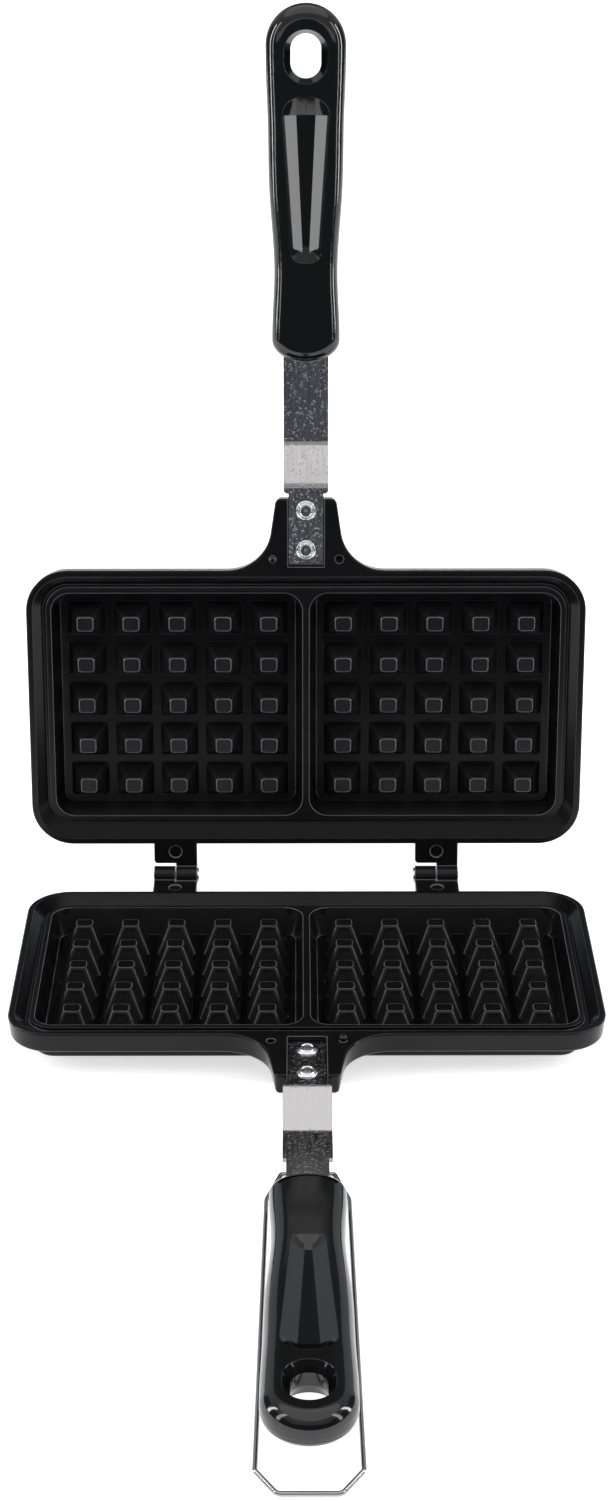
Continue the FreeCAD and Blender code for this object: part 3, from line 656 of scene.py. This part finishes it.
@dataclass(frozen=True)
class Studio:
    """The floor, the lamps, the cards and the camera.

    The camera's place and angles are those that were fitted to the photograph, as seen from the
    hinge, in millimetres, degrees and pixels. The other lengths are metres.
    """

    stance: Stance
    white: str = "#ffffff"
    floor_colour: str = "#f2f2f2"
    floor_glow: float = 0.6
    floor_half: float = 40.0
    backdrop_sides: int = 96
    backdrop_reach: float = 12.0
    backdrop_height: float = 4.0
    room_strength: float = 0.55
    sun_strength: float = 1.1
    sun_angle_deg: float = 80.0
    strips: tuple[Strip, ...] = (
        Strip("left_front_strip", -62, 1.3, (0.18, 1.2), 0.7, 5.5),
        Strip("left_side_strip", -90, 1.2, (0.16, 1.0), 0.55, 14.0),
        Strip("right_front_strip", 62, 1.3, (0.18, 1.2), 0.7, 5.5),
        Strip("right_side_strip", 90, 1.2, (0.16, 1.0), 0.55, 14.0))
    cards: tuple[Card, ...] = (
        Card("front_floor", "#585c65", (5.0, 2.4), (0, -1.66, GROUND + 0.3 * MM), (0, 0, 0)),
        Card("front_wall", "#585c65", (5.0, 0.62), (0, -1.5, 0.31)),
        Card("back_wall", "#5c6067", (1.0, 1.7), (0, 1.5, 0.85)),
        Card("back_left_wall", "#c4c6ca", (2.0, 1.7), (-1.5, 1.5, 0.85)),
        Card("back_right_wall", "#c4c6ca", (2.0, 1.7), (1.5, 1.5, 0.85)),
        Card("left_wall", "#5c6067", (5.0, 1.2), (-1.8, 0, 0.6), (UPRIGHT, 0, UPRIGHT)),
        Card("right_wall", "#5c6067", (5.0, 1.2), (1.8, 0, 0.6), (UPRIGHT, 0, UPRIGHT)))
    eye_mm: Triple = (-3.4, -1068.1, 542.2)
    pitch_deg: float = 24.27
    yaw_deg: float = 0.193
    roll_deg: float = 0.02
    focal_px: float = 2710.85

    def build(self) -> None:
        """Make the floor, the lamps, the cards, the room and the camera."""
        self.lay_floor()
        self.hang_lamps()
        for card in self.cards:
            card.stand()
        self.fill_room()
        self.aim_camera()
        LOG.info("built the studio")

    def floor_paint(self) -> bpy.types.Material:
        """Mix a matt white paint that glows for all but the rays that light the iron.

        Returns:
            The paint of the floor and the backdrop.
        """
        material = bpy.data.materials.new("matt_white_floor")
        material.use_nodes = True
        tree = material.node_tree
        ray = add_node(tree, "ShaderNodeLightPath")
        seen = add_node(tree, "ShaderNodeMath",
                        {0: ray.outputs["Is Camera Ray"], 1: ray.outputs["Is Glossy Ray"]},
                        operation="MAXIMUM")
        shown = add_node(tree, "ShaderNodeMath",
                         {0: seen.outputs[0], 1: ray.outputs["Is Transmission Ray"]},
                         operation="MAXIMUM")
        glow = add_node(tree, "ShaderNodeMath", {0: shown.outputs[0], 1: self.floor_glow},
                        operation="MULTIPLY")
        wire(tree, tree.nodes["Principled BSDF"],
             {"Base Color": linear(self.floor_colour), "Roughness": 0.9,
              "Emission Color": linear(self.white), "Emission Strength": glow.outputs[0]})
        return material

    def lay_floor(self) -> None:
        """Lay the plain floor under the iron and stand a round backdrop on it."""
        paint = self.floor_paint()
        bpy.ops.mesh.primitive_plane_add(size=2 * self.floor_half, location=(0, 0, GROUND))
        floor = bpy.context.object
        floor.name = "studio_floor"
        backdrop = start_ring("studio_backdrop", self.backdrop_sides, self.backdrop_reach, GROUND)
        bpy.ops.mesh.extrude_region_move(
            TRANSFORM_OT_translate={"value": (0, 0, self.backdrop_height)})
        bpy.ops.object.mode_set(mode="OBJECT")
        for piece in (floor, backdrop):
            piece.data.materials.append(paint)

    def hang_lamps(self) -> None:
        """Hang a broad light overhead and the strips at the sides."""
        bpy.ops.object.light_add(type="SUN", location=(0, 0, 2))
        sun = bpy.context.object
        sun.name = "overhead_diffuser"
        sun.data.energy = self.sun_strength
        sun.data.angle = math.radians(self.sun_angle_deg)
        for strip in self.strips:
            strip.hang()

    def fill_room(self) -> None:
        """Give the room its plain pale light."""
        world = bpy.data.worlds.new("pale_room")
        world.use_nodes = True
        bpy.context.scene.world = world
        wire(world.node_tree, world.node_tree.nodes["Background"],
             {"Color": linear(self.white), "Strength": self.room_strength})

    def aim_camera(self) -> None:
        """Put the camera where the photograph was taken from."""
        bpy.ops.object.camera_add()
        camera = bpy.context.object
        camera.name = "photo_camera"
        eye = Matrix.Translation(Vector(self.eye_mm) * MM)
        yaw = Matrix.Rotation(-math.radians(self.yaw_deg), 4, "Z")
        pitch = Matrix.Rotation(math.radians(90 - self.pitch_deg), 4, "X")
        roll = Matrix.Rotation(math.radians(self.roll_deg), 4, "Z")
        camera.matrix_world = self.stance.lower @ eye @ yaw @ pitch @ roll
        camera.data.lens = camera.data.sensor_width * self.focal_px / PHOTO_HEIGHT
        camera.data.clip_start = 10 * MM
        camera.data.clip_end = 4 * self.floor_half
        bpy.context.scene.camera = camera
        bpy.context.scene.view_settings.view_transform = "Standard"


@dataclass(frozen=True)
class WaffleIron:
    """The iron itself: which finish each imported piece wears, and the pieces made anew.

    A cavity spans cavity_x to each side and cavity_reach from the hinge. Its flat faces above
    cavity_middle are tooth tops and those below are its floor.
    """

    stance: Stance
    cavity_x: Point = (6.0, 105.0)
    cavity_reach: Point = (28.0, 127.5)
    cavity_middle: float = 7.0
    crown_end: float = 4.0
    flat_cosine: float = 0.97

    def dress(self, finish: bpy.types.Material, nodes: Sequence[str]) -> None:
        """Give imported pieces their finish.

        Args:
            finish: the material.
            nodes: the pieces' names.
        """
        for name in nodes:
            piece = frame["nodes"][name]
            piece.data.materials.clear()
            piece.data.materials.append(finish)
            LOG.info("dressed %s", name)

    def grade_of(self, spot: Vector, rise: float) -> Grade | None:
        """Tell which part of a cavity a face belongs to.

        Args:
            spot: the face's middle, in its half drawn shut, in millimetres.
            rise: the cosine between its normal and the parting plane's.

        Returns:
            Its grade, or None outside the cavities and on a tooth's rounded crown.
        """
        reach, depth = -spot.y, -spot.z
        if not self.cavity_x[0] < abs(spot.x) < self.cavity_x[1]:
            return None
        if not self.cavity_reach[0] < reach < self.cavity_reach[1]:
            return None
        if rise > self.flat_cosine:
            return Grade.TOOTH_TOP if depth < self.cavity_middle else Grade.CHANNEL
        return Grade.TOOTH_SIDE if depth > self.crown_end else None

    def paint_coat_light_and_shade(self, node: str, matrix: Matrix,
                   grades: Sequence[tuple[Grade, bpy.types.Material]]) -> None:
        """Paint light and shade into a plate's coat inside its cavities.

        Args:
            node: the plate's name.
            matrix: where its half stands.
            grades: each grade's coat, in the order of the grades' slots.
        """
        mesh = frame["nodes"][node].data
        for _, coat in grades:
            mesh.materials.append(coat)
        back = matrix.inverted()
        for face in mesh.polygons:
            rise = (back.to_3x3() @ face.normal).z
            grade = self.grade_of(back @ face.center / MM, rise)
            if grade is not None:
                face.material_index = grade.value
        LOG.info("graded the coat of %s", node)

    def dress_plates(self) -> None:
        """Coat both plates, and paint light and shade into the coat of their cavities."""
        self.dress(NonStickCasting().material(), ("lower_plate", "upper_plate"))
        # Painted shade between the teeth: the channels get the deepest black, with no bright edges.
        channel_shade = NonStickCasting(name="nonstick_painted_shade_in_channels", coat="#030304",
                                 dusty="#060607", edge="#242427", ior=1.25).material()
        # Painted light on the tapered sides: a dark grey, lighter than the coat, that lifts the shade falling on
        # them and sets the teeth off.
        sides = NonStickCasting(name="nonstick_painted_light_on_tooth_sides", coat="#121213",
                                dusty="#1c1c1d", edge="#2a2a2d").material()
        # Painted sheen on the lid's tooth tops: a greyer square with a painted highlight round it.
        lid_top_sheen = NonStickCasting(name="nonstick_painted_sheen_on_lid_tooth_tops", coat="#0e0e10",
                                 dusty="#1c1c1e", edge="#b4b4ba").material()
        # Painted highlight on the lower tooth tops: a black top with a softer bright outline.
        lower_top_highlight = NonStickCasting(name="nonstick_painted_outline_on_lower_tooth_tops", edge="#8a8a90").material()
        common = ((Grade.CHANNEL, channel_shade), (Grade.TOOTH_SIDE, sides))
        self.paint_coat_light_and_shade("lower_plate", self.stance.lower, ((Grade.TOOTH_TOP, lower_top_highlight), *common))
        self.paint_coat_light_and_shade("upper_plate", self.stance.lid, ((Grade.TOOTH_TOP, lid_top_sheen), *common))

    def build(self) -> None:
        """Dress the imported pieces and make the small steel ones."""
        self.dress_plates()
        self.dress(Phenolic().material(), ("lower_grip", "upper_grip"))
        # Cold-rolled strip: the eye gets a lengthwise satin with scattered pits.
        strip = Steel(name="rolled_stainless_strip")
        self.dress(strip.material(), ("lower_strap", "upper_strap"))
        # Drawn wire: the eye gets a smooth bright line.
        wire_steel = Steel(name="drawn_bright_wire", colour="#9c9ca0", roughness=(0.06, 0.16),
                           line_mm=0.3, pit_height_mm=0.0)
        self.dress(wire_steel.material(), ("locking_bail",))
        # Cold-headed steel: the eye gets a bright mirror without a grain.
        headed = Steel(name="headed_bright_rivet_steel", colour="#d2d2d4",
                       roughness=(0.08, 0.2), line_stretch=(1.0, 1.0, 1.0)).material()
        # Oxide that nothing polishes off: the eye gets a dull grey inside the hollows.
        oxide = Steel(name="oxide_in_rivet_hollow", colour="#7c7c7e", roughness=(0.2, 0.4),
                      pit_mm=0.5).material()
        Rivets().build(self.stance, headed, oxide)
        HingePins().build(self.stance, headed)


def main() -> None:
    logging.basicConfig(level=logging.INFO)
    stance = Stance.read()
    WaffleIron(stance).build()
    Studio(stance).build()


if __name__ == "__main__":
    main()
